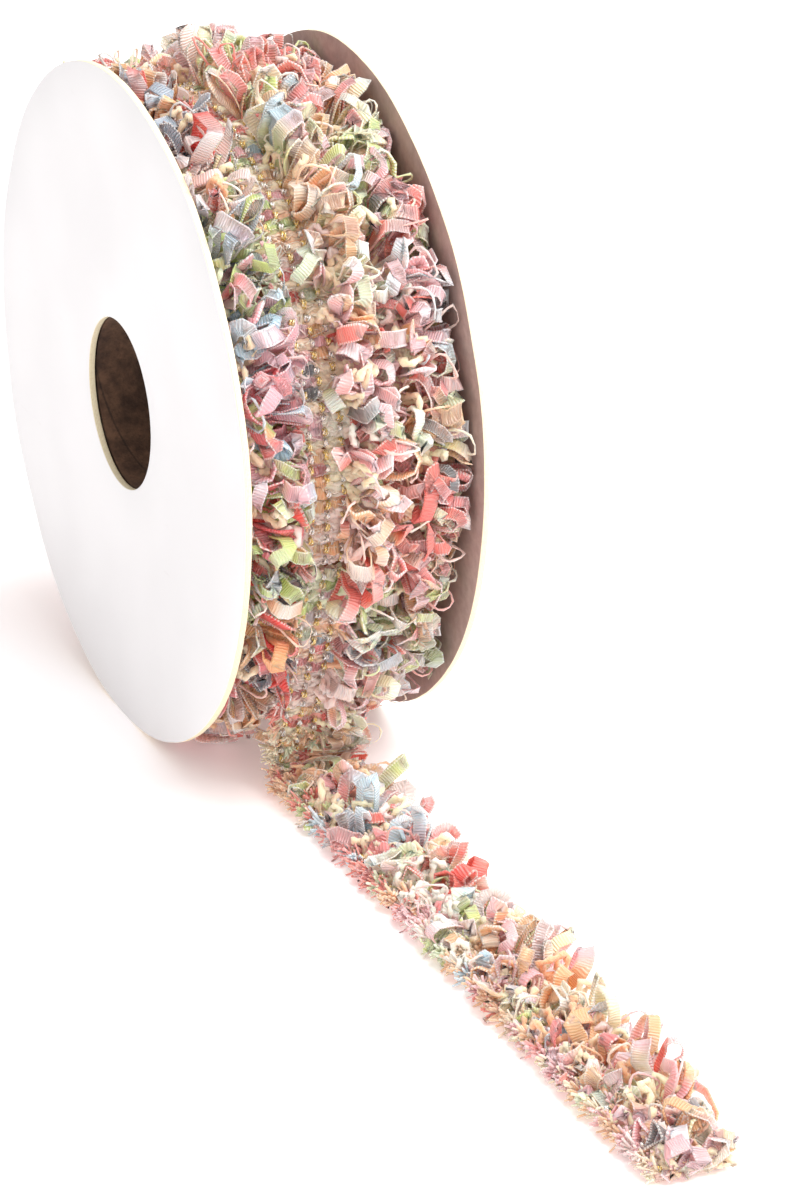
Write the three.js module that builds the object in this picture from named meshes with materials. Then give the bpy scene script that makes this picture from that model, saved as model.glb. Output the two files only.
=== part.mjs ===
import * as THREE from "three";

// A card reel of fringed fancy ribbon. It stands on its two rims, and the loose end of the ribbon
// leaves the front of the roll, drops to the surface and lies straight out to its cut end.
// Millimetres, +Z up. The reel's hole runs along X, and the loose end runs towards -Y.

// The reel: two card flanges on a chipboard core
const FLANGE_DIAMETER = 100;
const FLANGE_THICKNESS = 1.0;
const FLANGE_GAP = 34.6;
const HOLE_DIAMETER = 25.4;
const CORE_WALL = 2.0;
const REST_CHORD = 7; // width of the small flat that each rim stands on

// The ribbon: a woven band with short brush on one edge and long loops on the other
const BAND_LEFT = -7.4; // places across the reel, measured from the middle of its width
const BAND_RIGHT = 2.6;
const BRUSH_TIP = -9.0;
const LOOP_TIP = 9.6;
const BAND_THICKNESS = 2.2;
const LOOP_HEIGHT = 6.0; // loops over the underside of the band, where it lies flat

// The loose end
const TURN_BELOW = 42.4; // distance from the hole's line to the underside of the band, where it starts
const LEAVES_ROLL_AT = 19.5; // degrees below the height of the hole
const BEND_RADIUS = 4.4; // middle of the band, where it turns onto the surface
const TAIL_REACH = 158; // from the hole's line to the cut end
const TAIL_DRIFT = 1.6; // how far to the right the ribbon has strayed at its cut end

const CLEARANCE = 0.3; // between pieces that touch

const flangeRadius = FLANGE_DIAMETER / 2;
const holeRadius = HOLE_DIAMETER / 2;
const coreRadius = holeRadius + CORE_WALL;
const axleHeight = Math.sqrt(flangeRadius ** 2 - (REST_CHORD / 2) ** 2);
const axleY = (TAIL_REACH - flangeRadius) / 2; // the origin is under the middle of the whole piece
const radians = THREE.MathUtils.degToRad;

// A point by its distance from the hole's line and its angle, where 0 degrees is the front of the
// reel at the height of the hole and 90 degrees its top.
function aroundReel(x, radius, angle) {
  return new THREE.Vector3(
    x,
    axleY - radius * Math.cos(radians(angle)),
    axleHeight + radius * Math.sin(radians(angle)),
  );
}

// Flanges: die-cut card discs with the hole and the small flat that keeps the reel from rolling

function flangeGeometry() {
  const halfFlat = Math.asin(REST_CHORD / FLANGE_DIAMETER);
  const outline = new THREE.Shape();
  outline.absarc(0, 0, flangeRadius, halfFlat, 2 * Math.PI - halfFlat);
  const hole = new THREE.Path();
  hole.absarc(0, 0, holeRadius, 0, 2 * Math.PI, true);
  outline.holes.push(hole);
  return new THREE.ExtrudeGeometry(outline, {
    depth: FLANGE_THICKNESS,
    bevelEnabled: false,
    curveSegments: 40,
  }).rotateY(Math.PI / 2);
}

const card = new THREE.MeshStandardMaterial({ color: 0xf6f3f2, roughness: 0.7, metalness: 0 });
const nearFlange = new THREE.Mesh(flangeGeometry(), card);
nearFlange.name = "flange_near";
nearFlange.position.set(-FLANGE_GAP / 2 - FLANGE_THICKNESS, axleY, axleHeight);
const farFlange = new THREE.Mesh(flangeGeometry(), card);
farFlange.name = "flange_far";
farFlange.position.set(FLANGE_GAP / 2, axleY, axleHeight);

// Core: a spiral-wound chipboard tube between the flanges

function coreGeometry() {
  const halfLength = FLANGE_GAP / 2 - CLEARANCE;
  const section = [
    new THREE.Vector2(holeRadius, -halfLength),
    new THREE.Vector2(coreRadius, -halfLength),
    new THREE.Vector2(coreRadius, halfLength),
    new THREE.Vector2(holeRadius, halfLength),
    new THREE.Vector2(holeRadius, -halfLength),
  ];
  return new THREE.LatheGeometry(section, 48).rotateZ(-Math.PI / 2);
}

const chipboard = new THREE.MeshStandardMaterial({ color: 0x4b3226, roughness: 0.9, metalness: 0 });
const core = new THREE.Mesh(coreGeometry(), chipboard);
core.name = "core_tube";
core.position.set(0, axleY, axleHeight);

// Roll: the wound ribbon as one solid of its outer form. Each row is a place across the reel, with
// the radius that the pile reaches where the last turn lies, and where it doesn't.
const ROLL_SECTION = [
  { x: -17.0, lastTurn: 45.2, below: 45.2 },
  { x: -13.2, lastTurn: 46.0, below: 46.0 },
  { x: -10.6, lastTurn: 45.0, below: 44.2 },
  { x: -9.2, lastTurn: 44.8, below: 41.4 },
  { x: -0.8, lastTurn: 44.8, below: 41.2 },
  { x: 1.8, lastTurn: 46.8, below: 41.2 },
  { x: 6.2, lastTurn: 48.2, below: 41.2 },
  { x: 10.0, lastTurn: 47.8, below: 41.6 },
  { x: 11.4, lastTurn: 46.6, below: 46.2 },
  { x: 14.4, lastTurn: 47.4, below: 47.4 },
  { x: 17.0, lastTurn: 46.2, below: 46.2 },
];
const ROLL_STEPS = 90;
const LAST_TURN_END = -12; // degrees, just above where the loose end begins
const STEP_WIDTH = 3;
const LAST_TURN_START = -75; // degrees, under the reel, where the last turn rises over the one below
const RISE_WIDTH = 55;
const BUNCH_DEPTH = 0.5;
const BUNCHES_ROUND = [11, 17];

// How much of the last turn lies at an angle: all of it from the front over the top to the back,
// none between the loose end and the underside.
function lastTurnShare(angle) {
  if (angle > LAST_TURN_START) {
    return THREE.MathUtils.smoothstep(angle, LAST_TURN_END - STEP_WIDTH, LAST_TURN_END);
  }
  return THREE.MathUtils.smoothstep(-angle, -LAST_TURN_START, -LAST_TURN_START + RISE_WIDTH);
}

function rollRadius(row, angle) {
  const share = lastTurnShare(angle);
  const bunches = BUNCHES_ROUND.reduce(
    (sum, count) => sum + Math.sin(count * radians(angle) + row.x),
    0,
  );
  return row.below + (row.lastTurn - row.below) * share + (BUNCH_DEPTH * bunches) / 2;
}

function rollGeometry() {
  const innerRadius = coreRadius + CLEARANCE;
  const last = ROLL_SECTION.length - 1;
  const section = [
    new THREE.Vector2(innerRadius, ROLL_SECTION[0].x),
    ...ROLL_SECTION.map((row) => new THREE.Vector2(row.below, row.x)),
    new THREE.Vector2(innerRadius, ROLL_SECTION[last].x),
    new THREE.Vector2(innerRadius, ROLL_SECTION[0].x),
  ];
  const geometry = new THREE.LatheGeometry(section, ROLL_STEPS);
  const place = geometry.attributes.position;
  const rows = section.length;
  for (let i = 0; i < place.count; i += 1) {
    const step = Math.floor(i / rows) % ROLL_STEPS;
    const angle = 180 - (360 * step) / ROLL_STEPS;
    const row = ROLL_SECTION[(i % rows) - 1];
    const x = place.getY(i);
    const radius = row ? rollRadius(row, angle) : innerRadius;
    const point = aroundReel(x, radius, angle);
    place.setXYZ(i, point.x, point.y, point.z);
  }
  return geometry;
}

const cloth = new THREE.MeshStandardMaterial({ color: 0xe8b8b0, roughness: 0.8, metalness: 0 });
const roll = new THREE.Mesh(rollGeometry(), cloth);
roll.name = "ribbon_roll";

// Loose end: the path of its middle layer, as stretches of line and arc seen from the side

const START_GAP = 0.6; // degrees
const halfBand = BAND_THICKNESS / 2;
const tailRadius = TURN_BELOW + halfBand;
const tailStart = LAST_TURN_END - STEP_WIDTH - START_GAP;
const slope = radians(LEAVES_ROLL_AT);
const leaving = aroundReel(0, tailRadius, -LEAVES_ROLL_AT);
const bendCentreZ = halfBand + BEND_RADIUS;
const dropLength = (leaving.z - bendCentreZ - BEND_RADIUS * Math.sin(slope)) / Math.cos(slope);
const bendCentreY = leaving.y + dropLength * Math.sin(slope) - BEND_RADIUS * Math.cos(slope);
const wrapLength = tailRadius * radians(tailStart + LEAVES_ROLL_AT);
const bendLength = BEND_RADIUS * (Math.PI / 2 + slope);
const tailEndY = axleY - TAIL_REACH;
const floorLength = bendCentreY - tailEndY;
const tailLength = wrapLength + dropLength + bendLength + floorLength;

// The point of the path at a length along it, and the direction that the ribbon's face looks there
function tailAt(length) {
  if (length < wrapLength) {
    const angle = tailStart - THREE.MathUtils.radToDeg(length / tailRadius);
    const point = aroundReel(0, tailRadius, angle);
    return { point, face: aroundReel(0, tailRadius + 1, angle).sub(point) };
  }
  const dropped = length - wrapLength;
  if (dropped < dropLength) {
    const face = new THREE.Vector3(0, -Math.cos(slope), -Math.sin(slope));
    const down = new THREE.Vector3(0, Math.sin(slope), -Math.cos(slope));
    return { point: leaving.clone().addScaledVector(down, dropped), face };
  }
  const bent = dropped - dropLength;
  if (bent < bendLength) {
    const turned = slope - bent / BEND_RADIUS;
    const face = new THREE.Vector3(0, -Math.cos(turned), -Math.sin(turned));
    const centre = new THREE.Vector3(0, bendCentreY, bendCentreZ);
    return { point: centre.addScaledVector(face, -BEND_RADIUS), face };
  }
  const run = bent - bendLength;
  return {
    point: new THREE.Vector3((TAIL_DRIFT * run) / floorLength, bendCentreY - run, halfBand),
    face: new THREE.Vector3(0, 0, 1),
  };
}

// Bends a flat strip along the path. A shape function gives, for a length along the path and a share
// of the way across, the place across the reel and the heights under and over the middle layer.
function stripGeometry(lengths, columns, shape) {
  const steps = lengths.length - 1;
  const geometry = new THREE.BoxGeometry(1, 1, 1, columns, 1, steps);
  const place = geometry.attributes.position;
  for (let i = 0; i < place.count; i += 1) {
    const step = Math.round((place.getZ(i) + 0.5) * steps);
    const { point, face } = tailAt(lengths[step]);
    const { x, under, over } = shape(step, place.getX(i) + 0.5);
    point.addScaledVector(face, place.getY(i) > 0 ? over : under);
    place.setXYZ(i, point.x + x, point.y, point.z);
  }
  return geometry;
}

// Band: the woven strip with its lines of metallic stitches

const BAND_STEP = 4.2;
const BEND_STEP = 1.1;
const SWELL = 0.25; // the band stands a little fuller at each bunch of weft
const SWELL_PITCH = 13;
const EDGE_THINNING = 0.3;

function bandLengths() {
  const bendStart = wrapLength + dropLength;
  const bendEnd = bendStart + bendLength;
  const stretches = [
    { from: 0, to: wrapLength, step: BEND_STEP },
    { from: wrapLength, to: bendStart, step: BAND_STEP },
    { from: bendStart, to: bendEnd, step: BEND_STEP },
    { from: bendEnd, to: tailLength, step: BAND_STEP },
  ];
  const lengths = [0];
  for (const { from, to, step } of stretches) {
    const count = Math.ceil((to - from) / step);
    for (let i = 1; i <= count; i += 1) {
      lengths.push(from + ((to - from) * i) / count);
    }
  }
  return lengths;
}

const bandSteps = bandLengths();
const band = new THREE.Mesh(
  stripGeometry(bandSteps, 4, (step, across) => ({
    x: BAND_LEFT + (BAND_RIGHT - BAND_LEFT) * across,
    under: -halfBand,
    over:
      halfBand -
      EDGE_THINNING * Math.abs(2 * across - 1) +
      SWELL * Math.sin((2 * Math.PI * bandSteps[step]) / SWELL_PITCH),
  })),
  cloth,
);
band.name = "tail_band";

// Fringes: each is one comb along an edge of the band, with a spine and a row of tapered teeth.
// Four steps make a tooth: its two roots and the two corners of its tip.
const TOOTH_PITCH = 5.2;
const TOOTH_PARTS = [0, 0.22, 0.66, 0.88];
const TOOTH_VARIATION = 0.15;
const VARIATION_TURN = 2.4;

function combLengths() {
  const teeth = Math.floor(tailLength / TOOTH_PITCH);
  const pitch = tailLength / teeth;
  const lengths = [];
  for (let tooth = 0; tooth < teeth; tooth += 1) {
    lengths.push(...TOOTH_PARTS.map((part) => (tooth + part) * pitch));
  }
  lengths.push(tailLength);
  return lengths;
}

const combSteps = combLengths();

// 1 at the tips of the teeth and 0 at their roots, with every tooth a little longer or shorter
function toothShare(step) {
  const inTooth = step % TOOTH_PARTS.length;
  const tooth = Math.floor(step / TOOTH_PARTS.length);
  const atTip = inTooth === 1 || inTooth === 2;
  return atTip ? 1 - TOOTH_VARIATION * (1 - Math.sin(VARIATION_TURN * tooth)) : 0;
}

// Loop fringe on the right edge, over the middle layer of the band
const LOOP_SPINE = 2.2;
const LOOP_ROOT_HEIGHT = 1.6;
const LOOP_TIP_HEIGHT = 1.8;
const CROWDED_HEIGHT = 3.2;
const CROWDING_REACH = 19; // along the ribbon, from the middle of the bend

// The loops crowd together on the inside of the bend, so they stand lower there.
function crowding(length) {
  const bendMiddle = wrapLength + dropLength + bendLength / 2;
  return 1 - THREE.MathUtils.smoothstep(Math.abs(length - bendMiddle), bendLength, CROWDING_REACH);
}

function loopShape(step, across) {
  const root = BAND_RIGHT + CLEARANCE;
  const reach = LOOP_SPINE + (LOOP_TIP - root - LOOP_SPINE) * toothShare(step);
  const full = LOOP_HEIGHT - halfBand;
  const height = full + (CROWDED_HEIGHT - full) * crowding(combSteps[step]);
  const heights = [LOOP_ROOT_HEIGHT, height, LOOP_TIP_HEIGHT];
  return {
    x: root + reach * across,
    under: -halfBand,
    over: heights[Math.round(2 * across)],
  };
}

const loops = new THREE.Mesh(stripGeometry(combSteps, 2, loopShape), cloth);
loops.name = "tail_loops";

// Short brush on the left edge
const BRUSH_SPINE = 0.5;
const BRUSH_HEIGHT = 1.9;

function brushShape(step, across) {
  const root = BAND_LEFT - CLEARANCE;
  const reach = BRUSH_SPINE + (root - BRUSH_TIP - BRUSH_SPINE) * toothShare(step);
  return { x: root - reach * (1 - across), under: -halfBand, over: BRUSH_HEIGHT - halfBand };
}

const brush = new THREE.Mesh(stripGeometry(combSteps, 1, brushShape), cloth);
brush.name = "tail_brush";

const reelOfRibbon = new THREE.Group();
reelOfRibbon.add(nearFlange, farFlange, core, roll, band, loops, brush);

export default reelOfRibbon;
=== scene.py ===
import math

import bmesh
import bpy
import numpy as np
from mathutils import Matrix, Vector, noise


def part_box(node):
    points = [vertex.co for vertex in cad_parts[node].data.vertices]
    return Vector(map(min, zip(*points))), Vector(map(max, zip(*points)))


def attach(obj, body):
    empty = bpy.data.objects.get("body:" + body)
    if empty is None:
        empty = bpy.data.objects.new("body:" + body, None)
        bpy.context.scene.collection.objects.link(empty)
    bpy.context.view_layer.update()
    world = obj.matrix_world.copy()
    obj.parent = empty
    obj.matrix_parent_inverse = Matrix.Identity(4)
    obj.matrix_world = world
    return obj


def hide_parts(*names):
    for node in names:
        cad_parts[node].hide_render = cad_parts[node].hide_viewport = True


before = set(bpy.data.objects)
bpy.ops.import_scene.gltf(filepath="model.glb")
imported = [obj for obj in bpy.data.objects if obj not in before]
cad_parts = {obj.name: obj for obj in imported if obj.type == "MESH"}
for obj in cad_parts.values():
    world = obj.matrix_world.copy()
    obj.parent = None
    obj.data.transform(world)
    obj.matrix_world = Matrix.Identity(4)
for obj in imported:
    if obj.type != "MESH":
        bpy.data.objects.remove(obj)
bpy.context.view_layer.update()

# Card flanges. Two die-cut discs of card, glued on the ends of the core: coated white outside, and bare
# grey-beige board inside, darkened and tinted pink as painted shade and painted bounce light from the
# pile.
# The cut edge shows the cream plies, and the rim is a little knocked.

MM = 0.001
core_low, core_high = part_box("core_tube")
AXLE = (core_low + core_high) / 2
hole_radius = 12.7 * MM
CARD_STEPS = 216
RINGS = 4
EDGE_BEVEL = 0.12 * MM
DISH = 0.25 * MM
KNOCKS = 0.10 * MM
DISH_WAVES = 3.0
KNOCK_WAVES = 22.0
RIM_SHARE = 0.95  # beyond this share of the way from the hole to the rim, the disc can be knocked
FLAT_FACE = 0.8
PLY_PITCH = 0.22 * MM


class Value:
    """A shader socket that can be used in sums."""

    def __init__(self, finish, socket):
        self.finish = finish
        self.socket = socket

    def maths(self, operation, *values):
        return self.finish.node("Math", {"operation": operation}, dict(enumerate(values)))

    def __add__(self, other):
        return self.maths("ADD", self, other)

    def __sub__(self, other):
        return self.maths("SUBTRACT", self, other)

    def __rsub__(self, other):
        return self.maths("SUBTRACT", other, self)

    def __mul__(self, other):
        return self.maths("MULTIPLY", self, other)

    __radd__ = __add__
    __rmul__ = __mul__

    def sine(self):
        return self.maths("SINE", self)

    def size(self):
        return self.maths("ABSOLUTE", self)

    def ramp(self, low, high, lowest=0.0, highest=1.0):
        """Runs smoothly from lowest to highest as the value goes from low to high."""
        sockets = {"Value": self, "From Min": low, "From Max": high}
        sockets |= {"To Min": lowest, "To Max": highest}
        settings = {"interpolation_type": "SMOOTHSTEP"}
        return self.finish.node("MapRange", settings, sockets)


class Finish:
    """The nodes of a new material, or of another node tree that is given."""

    def __init__(self, name, tree=None):
        if tree is None:
            self.material = bpy.data.materials.new(name)
            self.material.use_nodes = True
            tree = self.material.node_tree
            tree.nodes.clear()
        self.tree = tree

    def node(self, kind, settings=None, sockets=None, out=0):
        """Adds a node: its settings are set first, then its sockets get values or links."""
        made = self.tree.nodes.new("ShaderNode" + kind)
        for name, setting in (settings or {}).items():
            if name == "stops":
                self.set_stops(made.color_ramp, setting)
            else:
                setattr(made, name, setting)
        for name, value in (sockets or {}).items():
            socket = made.inputs[name]
            if isinstance(value, Value):
                self.tree.links.new(value.socket, socket)
            else:
                socket.default_value = value
        return Value(self, made.outputs[out])

    def set_stops(self, ramp, stops):
        while len(ramp.elements) < len(stops):
            ramp.elements.new(1.0)
        for element, (position, colour) in zip(ramp.elements, stops):
            element.position = position
            element.color = (*colour, 1.0)

    def place(self):
        return self.node("TexCoord", out="Object")

    def noise(self, scale, vector=None, detail=3.0, roughness=0.55):
        sockets = {"Vector": vector or self.place(), "Scale": scale}
        sockets |= {"Detail": detail, "Roughness": roughness}
        return self.node("TexNoise", {}, sockets)

    def mix(self, share, low, high, mode="MIX"):
        settings = {"data_type": "RGBA", "blend_type": mode, "clamp_factor": True}
        return self.node("Mix", settings, {0: share, 6: low, 7: high}, out=2)

    def bump(self, height, strength, distance):
        sockets = {"Height": height, "Strength": strength, "Distance": distance}
        return self.node("Bump", {}, sockets)

    def surface(self, **sockets):
        """Ends the material in one Principled shader. Words in socket names are joined by _."""
        named = {name.replace("_", " "): value for name, value in sockets.items()}
        shader = self.node("BsdfPrincipled", {}, named)
        output = self.tree.nodes.new("ShaderNodeOutputMaterial")
        self.tree.links.new(shader.socket, output.inputs["Surface"])
        return self.material


def linear(red, green, blue, alpha=None):
    """A colour given as 0 to 255 in sRGB, as the shader's own linear numbers."""
    parts = [c / 255 for c in (red, green, blue)]
    made = [c / 12.92 if c <= 0.04045 else ((c + 0.055) / 1.055) ** 2.4 for c in parts]
    return tuple(made) if alpha is None else (*made, alpha)


def coated_card():
    finish = Finish("coated_card")
    clouds = finish.noise(28.0, detail=2.0)
    shade = finish.mix(clouds.ramp(0.35, 0.7), linear(229, 228, 229, 1), linear(235, 234, 235, 1))
    scuff_place = finish.node("Mapping", {}, {"Vector": finish.place(), "Scale": (1, 0.25, 1.6)})
    scuffs = finish.noise(420.0, scuff_place, detail=4.0).ramp(0.66, 0.8, 0.0, 0.35)
    shade = finish.mix(scuffs, shade, linear(221, 218, 218, 1))
    grain = finish.noise(2600.0, detail=2.0)
    return finish.surface(
        Base_Color=shade,
        Roughness=scuffs.ramp(0.0, 0.35, 0.5, 0.62),
        Normal=finish.bump(grain, 0.25, 0.00004),
        Specular_IOR_Level=0.35,
    )


def cut_card():
    finish = Finish("cut_card")
    plies = finish.node("SeparateXYZ", {}, {0: finish.place()}, out="X")
    lines = (plies * (math.tau / PLY_PITCH)).sine()
    fibre = finish.noise(3200.0, detail=3.0)
    shade = finish.mix(lines.ramp(-1.0, 1.0), linear(238, 222, 184, 1), linear(250, 240, 212, 1))
    shade = finish.mix(fibre.ramp(0.4, 0.75, 0.0, 0.4), shade, linear(222, 200, 160, 1))
    return finish.surface(Base_Color=shade, Roughness=0.85, Normal=finish.bump(fibre, 0.5, 0.00006))


def bare_card_and_painted_shade():
    finish = Finish("bare_card_and_painted_shade")
    pulp = finish.noise(700.0, detail=5.0, roughness=0.65)
    # The board's tone is darker and pinker than bare board: painted shade between the flanges and
    # painted pink bounce light from the pile.
    shade = finish.mix(pulp.ramp(0.3, 0.7), linear(164, 142, 135, 1), linear(179, 157, 149, 1))
    return finish.surface(Base_Color=shade, Roughness=0.9, Normal=finish.bump(pulp, 0.4, 0.00008))


card_face = coated_card()
card_edge = cut_card()
card_back = bare_card_and_painted_shade()


def finished(shape, name):
    """Turns a modelled shape into a mesh."""
    mesh = bpy.data.meshes.new(name)
    shape.to_mesh(mesh)
    shape.free()
    return mesh


def put(name, data):
    """Puts an object in the scene."""
    made = bpy.data.objects.new(name, data)
    bpy.context.scene.collection.objects.link(made)
    return made


def link(name, mesh, *materials):
    """Puts a finished mesh in the scene as a piece that rides on the reel."""
    piece = put(name, mesh)
    for material in materials:
        mesh.materials.append(material)
    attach(piece, "root")
    return piece


def flange(node, outer_side):
    """One disc, made flat round the origin and stood up in its node's place."""
    low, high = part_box(node)
    rim_radius = (high.y - low.y) / 2
    thickness = high.x - low.x
    shape = bmesh.new()
    bmesh.ops.create_circle(shape, segments=CARD_STEPS, radius=rim_radius)
    bmesh.ops.create_circle(shape, segments=CARD_STEPS, radius=hole_radius)
    bmesh.ops.bridge_loops(shape, edges=shape.edges[:])
    spokes = [e for e in shape.edges if abs(e.verts[0].co.length - e.verts[1].co.length) > MM]
    bmesh.ops.subdivide_edges(shape, edges=spokes, cuts=RINGS)
    raised = bmesh.ops.extrude_face_region(shape, geom=shape.faces[:])["geom"]
    top = [v for v in raised if isinstance(v, bmesh.types.BMVert)]
    bmesh.ops.translate(shape, verts=top, vec=(0, 0, thickness))
    bmesh.ops.recalc_face_normals(shape, faces=shape.faces[:])
    corners = [e for e in shape.edges if e.is_manifold and e.calc_face_angle(0.0) > 1.0]
    bmesh.ops.bevel(
        shape,
        geom=corners,
        offset=EDGE_BEVEL,
        segments=2,
        profile=0.5,
        material=-1,
        affect="EDGES",
    )
    for vertex in shape.verts:
        distance = vertex.co.length
        share = (distance - hole_radius) / (rim_radius - hole_radius)
        way = Vector((vertex.co.x, vertex.co.y, 0)).normalized()
        uneven = noise.noise(way * DISH_WAVES + Vector((0, 0, outer_side * 5.0)))
        vertex.co.z += outer_side * DISH * share * share * (0.6 + uneven)
        if share > RIM_SHARE:
            knock = noise.noise(way * KNOCK_WAVES + Vector((4, 0, outer_side)))
            vertex.co -= way * max(0.0, knock) * KNOCKS
    for face in shape.faces:
        facing = face.normal.z * outer_side
        face.material_index = 0 if facing > FLAT_FACE else 2 if facing < -FLAT_FACE else 1
        face.smooth = True
    upright = Matrix(((0, 0, 1), (1, 0, 0), (0, 1, 0))).to_4x4()
    bmesh.ops.transform(shape, matrix=upright, verts=shape.verts[:])
    bmesh.ops.translate(shape, verts=shape.verts[:], vec=(low.x, AXLE.y, AXLE.z))
    for vertex in shape.verts:
        vertex.co.z = max(vertex.co.z, low.z)
    mesh = finished(shape, node + "_card")
    piece = link(node + "_card", mesh, card_face, card_edge, card_back)
    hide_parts(node)


flange("flange_near", -1)
flange("flange_far", 1)

# Core. A tube of dull brown chipboard, wound in a spiral from strips, glued between the flanges.
# Only its inner wall shows, through the hole.

CORE_STEPS = 96
CORE_WALL = 2.0 * MM
STRIP_PITCH = 17.0 * MM


def chipboard():
    finish = Finish("chipboard")
    place = finish.node("Mapping", {}, {"Vector": finish.place(), "Location": tuple(-AXLE)})
    parts = {axis: finish.node("SeparateXYZ", {}, {0: place}, out=axis) for axis in "XYZ"}
    turn = parts["Z"].maths("ARCTAN2", parts["Z"], parts["Y"])
    seam = (turn + parts["X"] * (math.tau / STRIP_PITCH)) * 0.5
    seam_line = seam.sine().size().ramp(0.0, 0.05, 1.0, 0.0)
    blotches = finish.noise(330.0, detail=5.0, roughness=0.65)
    fibres = finish.noise(2100.0, detail=3.0)
    shade = finish.mix(blotches.ramp(0.3, 0.72), linear(58, 38, 28, 1), linear(112, 82, 62, 1))
    shade = finish.mix(fibres.ramp(0.45, 0.8, 0.0, 0.6), shade, linear(52, 36, 27, 1))
    shade = finish.mix(seam_line * 0.6, shade, linear(30, 20, 15, 1))
    return finish.surface(
        Base_Color=shade,
        Roughness=0.92,
        Normal=finish.bump(fibres - seam_line * 0.8, 0.5, 0.00012),
    )


def spun(outline, steps):
    """A closed outline of (radius, x) places, spun once round the axle."""
    shape = bmesh.new()
    corners = [shape.verts.new((x, AXLE.y, AXLE.z + radius)) for radius, x in outline]
    pairs = zip(corners, corners[1:] + corners[:1])
    bmesh.ops.spin(
        shape,
        geom=corners + [shape.edges.new(pair) for pair in pairs],
        cent=AXLE,
        axis=(1, 0, 0),
        angle=math.tau,
        steps=steps,
        use_merge=True,
    )
    bmesh.ops.remove_doubles(shape, verts=shape.verts[:], dist=0.01 * MM)
    bmesh.ops.recalc_face_normals(shape, faces=shape.faces[:])
    return shape


wall = [(hole_radius, core_low.x), (hole_radius + CORE_WALL, core_low.x)]
wall += [(hole_radius + CORE_WALL, core_high.x), (hole_radius, core_high.x)]
mesh = finished(spun(wall, CORE_STEPS), "core_chipboard")
core = link("core_chipboard", mesh, chipboard())
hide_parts("core_tube")

# Wound mass. The inner turns of the ribbon, packed tight round the core. Only their matted pile shows,
# deep between the loops of the outer turns. Its mottled dyes are darkened towards brown as painted shade
# of those deep gaps.

roll_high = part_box("ribbon_roll")[1]
MASS_RADIUS = 41.0 * MM
MASS_STEPS = 260
MASS_LANES = 34
MASS_GAP = 0.3 * MM
MATTED = 0.9 * MM
MAT_WAVES = (420.0, 1100.0)


def matted_pile_painted_shade():
    finish = Finish("matted_pile_painted_shade")
    blotches = finish.noise(190.0, detail=4.0, roughness=0.7)
    # The mottle is the ribbon's dyes darkened towards brown, with more dark brown in a fine pattern:
    # painted shade of the deep gaps.
    stops = [(0.30, linear(146, 104, 92)), (0.42, linear(226, 120, 106)), (0.5, linear(196, 176, 120))]
    stops += [(0.58, linear(238, 160, 144)), (0.7, linear(196, 168, 152))]
    shade = finish.node("ValToRGB", {"stops": stops}, {"Fac": blotches})
    hairs = finish.noise(1500.0, detail=3.0)
    shade = finish.mix(hairs.ramp(0.35, 0.7, 0.0, 0.6), shade, linear(104, 78, 70, 1))
    return finish.surface(Base_Color=shade, Roughness=0.95, Normal=finish.bump(hairs, 0.8, 0.0003))


half_width = roll_high.x
inner = hole_radius + CORE_WALL + MASS_GAP
lanes = [-half_width + 2 * half_width * i / MASS_LANES for i in range(MASS_LANES + 1)]
profile = [(inner, -half_width)] + [(MASS_RADIUS, x) for x in lanes] + [(inner, half_width)]
shape = spun(profile, MASS_STEPS)
for vertex in shape.verts:
    away = Vector((0, vertex.co.y - AXLE.y, vertex.co.z - AXLE.z))
    if away.length > MASS_RADIUS - MM:
        coarse, fine = (noise.noise(vertex.co * waves) for waves in MAT_WAVES)
        rough = coarse + 0.6 * fine
        vertex.co += away.normalized() * MATTED * (rough - 0.3)
for face in shape.faces:
    face.smooth = True
wound_mass = link("wound_mass", finished(shape, "wound_mass"), matted_pile_painted_shade())
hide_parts("ribbon_roll")

# Woven band. Bunches of weft, some of knobbly yarn and some of tape, cross three lines of warp
# threads, which pinch each bunch into soft pillows. Tufts and fine pale hairs lie over them.

# A place in the ribbon is how far along it is from where it leaves the roll (less than 0 is back in
# the roll), how far across from the middle of the last turn, and how high over the underside. Inwards
# the ribbon runs round over the top, and crosses to another lane under the reel.

BAND_THICKNESS = 2.2 * MM
TURN_BELOW = 42.4 * MM
START_ANGLE = math.radians(-15.6)
LEAVES_ROLL_AT = math.radians(19.5)
BEND_RADIUS = 4.4 * MM
TAIL_DRIFT = 1.6 * MM  # to the right, by the cut end
END_PRESSED = 0.45  # share of its height that the cut end keeps
PRESSED_LENGTH = 9.0 * MM
LANES = {  # turns inwards, then what holds there, in mm
    "turns": [-1.0, 0.62, 0.88, 1.62, 1.88, 2.62, 2.88, 3.60],
    "middle": [-0.3, -0.3, -13.4, -13.4, 8.6, 8.6, -1.0, -1.0],
    "underside": [42.4, 42.2, 41.4, 41.2, 40.6, 40.4, 38.6, 38.4],
    "right limit": [17.0, 17.0, -7.6, -7.6, 17.0, 17.0, 17.0, 17.0],
    "tallest": [53.6, 53.6, 51.4, 51.4, 50.2, 50.2, 48.0, 48.0],
}
LANE_SOFTNESS = 1.5 * MM
FLANGE_SOFTNESS = 0.8 * MM
TOP_SOFTNESS = 2.0 * MM
STANDS_UP = 0.55  # share of what is pressed aside that makes the pile higher
BEND_REACH = 1.6  # in lengths of the bend, either way from its middle
half_band = BAND_THICKNESS / 2
path_radius = TURN_BELOW + half_band
turn_length = math.tau * path_radius
wrap_length = path_radius * (LEAVES_ROLL_AT + START_ANGLE)
leaving_y = AXLE.y - path_radius * math.cos(LEAVES_ROLL_AT)
leaving_z = AXLE.z - path_radius * math.sin(LEAVES_ROLL_AT)
bend_z = half_band + BEND_RADIUS
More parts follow.
